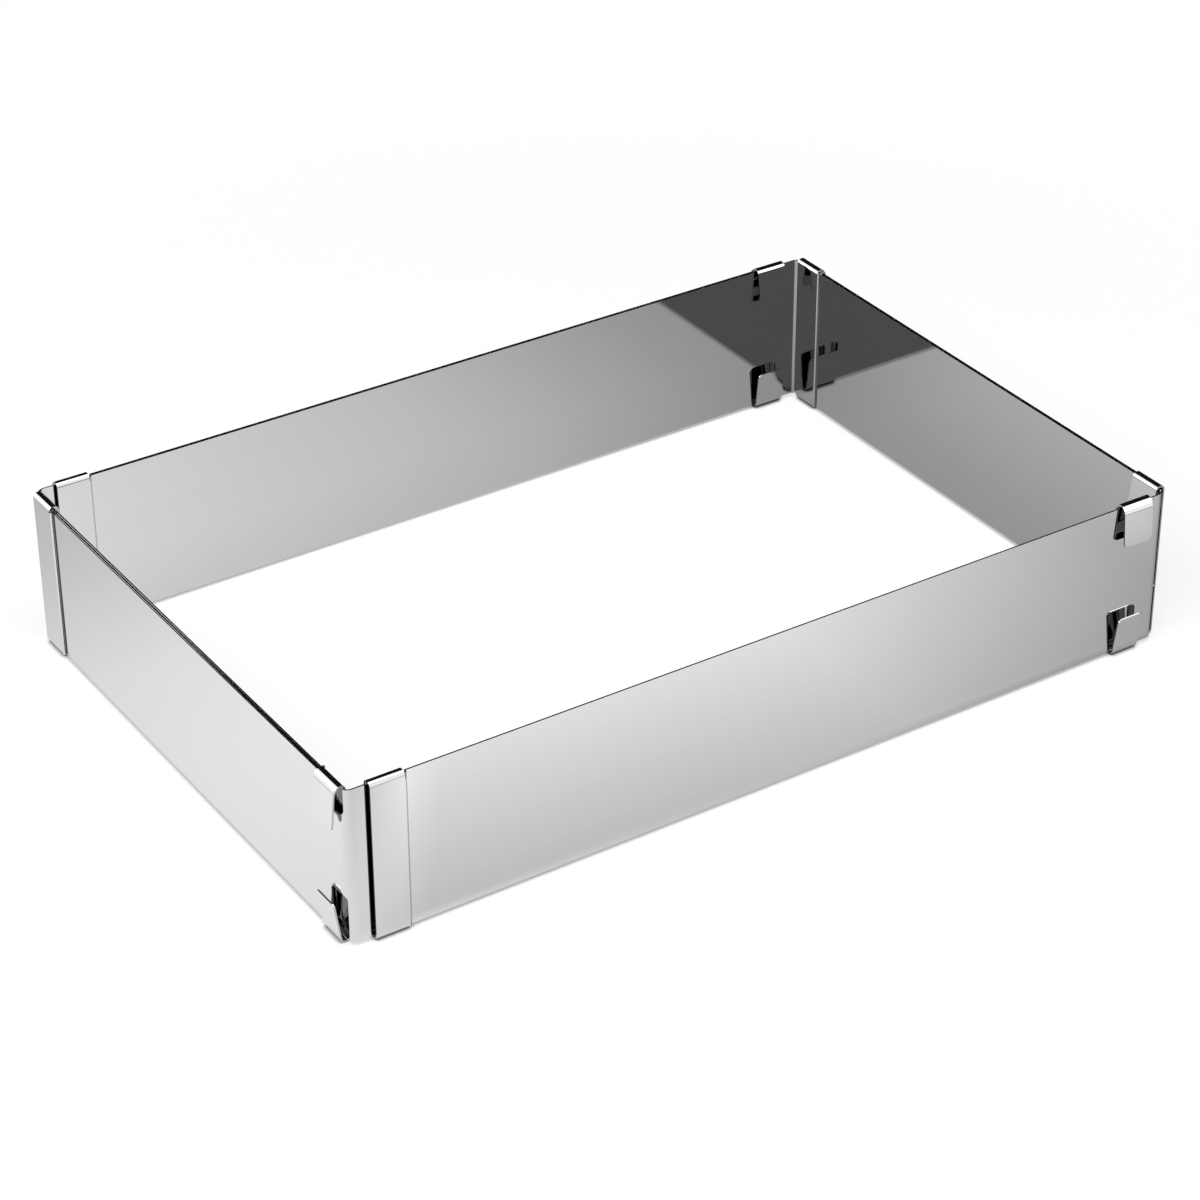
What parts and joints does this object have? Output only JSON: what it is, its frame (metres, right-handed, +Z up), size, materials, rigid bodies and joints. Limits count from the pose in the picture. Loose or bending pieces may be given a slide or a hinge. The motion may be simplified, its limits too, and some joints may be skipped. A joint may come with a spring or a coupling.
{
  "type": "adjustable cake frame",
  "caption": "Rectangular baking frame of bent steel sheets that slide along one another to change its length and width.",
  "frame": {"origin": "centre of the closed frame's footprint, on the plane that its hooks rest on", "axes": "+X along the long sides towards the right in the picture, +Y along the short sides away from the camera, +Z up"},
  "size_m": [0.2858, 0.1918, 0.0518],
  "materials": {
    "steel": "bright rolled"
  },
  "bodies": {
    "front_left": {"front_left_corner": "steel"},
    "front_right": {"front_right_corner": "steel"},
    "back_right": {"back_right_corner": "steel"},
    "back_left": {"back_left_corner": "steel"}
  },
  "joints": [
    {"name": "length_slide", "type": "slide", "parent": "front_left", "child": "front_right", "axis": [1, 0, 0], "range_m": [-0.003, 0.2425]},
    {"name": "width_slide", "type": "slide", "parent": "front_left", "child": "back_left", "axis": [0, 1, 0], "range_m": [0, 0.1565]},
    {"name": "far_width_slide", "type": "slide", "parent": "front_right", "child": "back_right", "axis": [0, 1, 0], "range_m": [0, 0.1565]}
  ],
  "couplings": [
    {"joint": "far_width_slide", "follows": "width_slide", "ratio": 1}
  ]
}
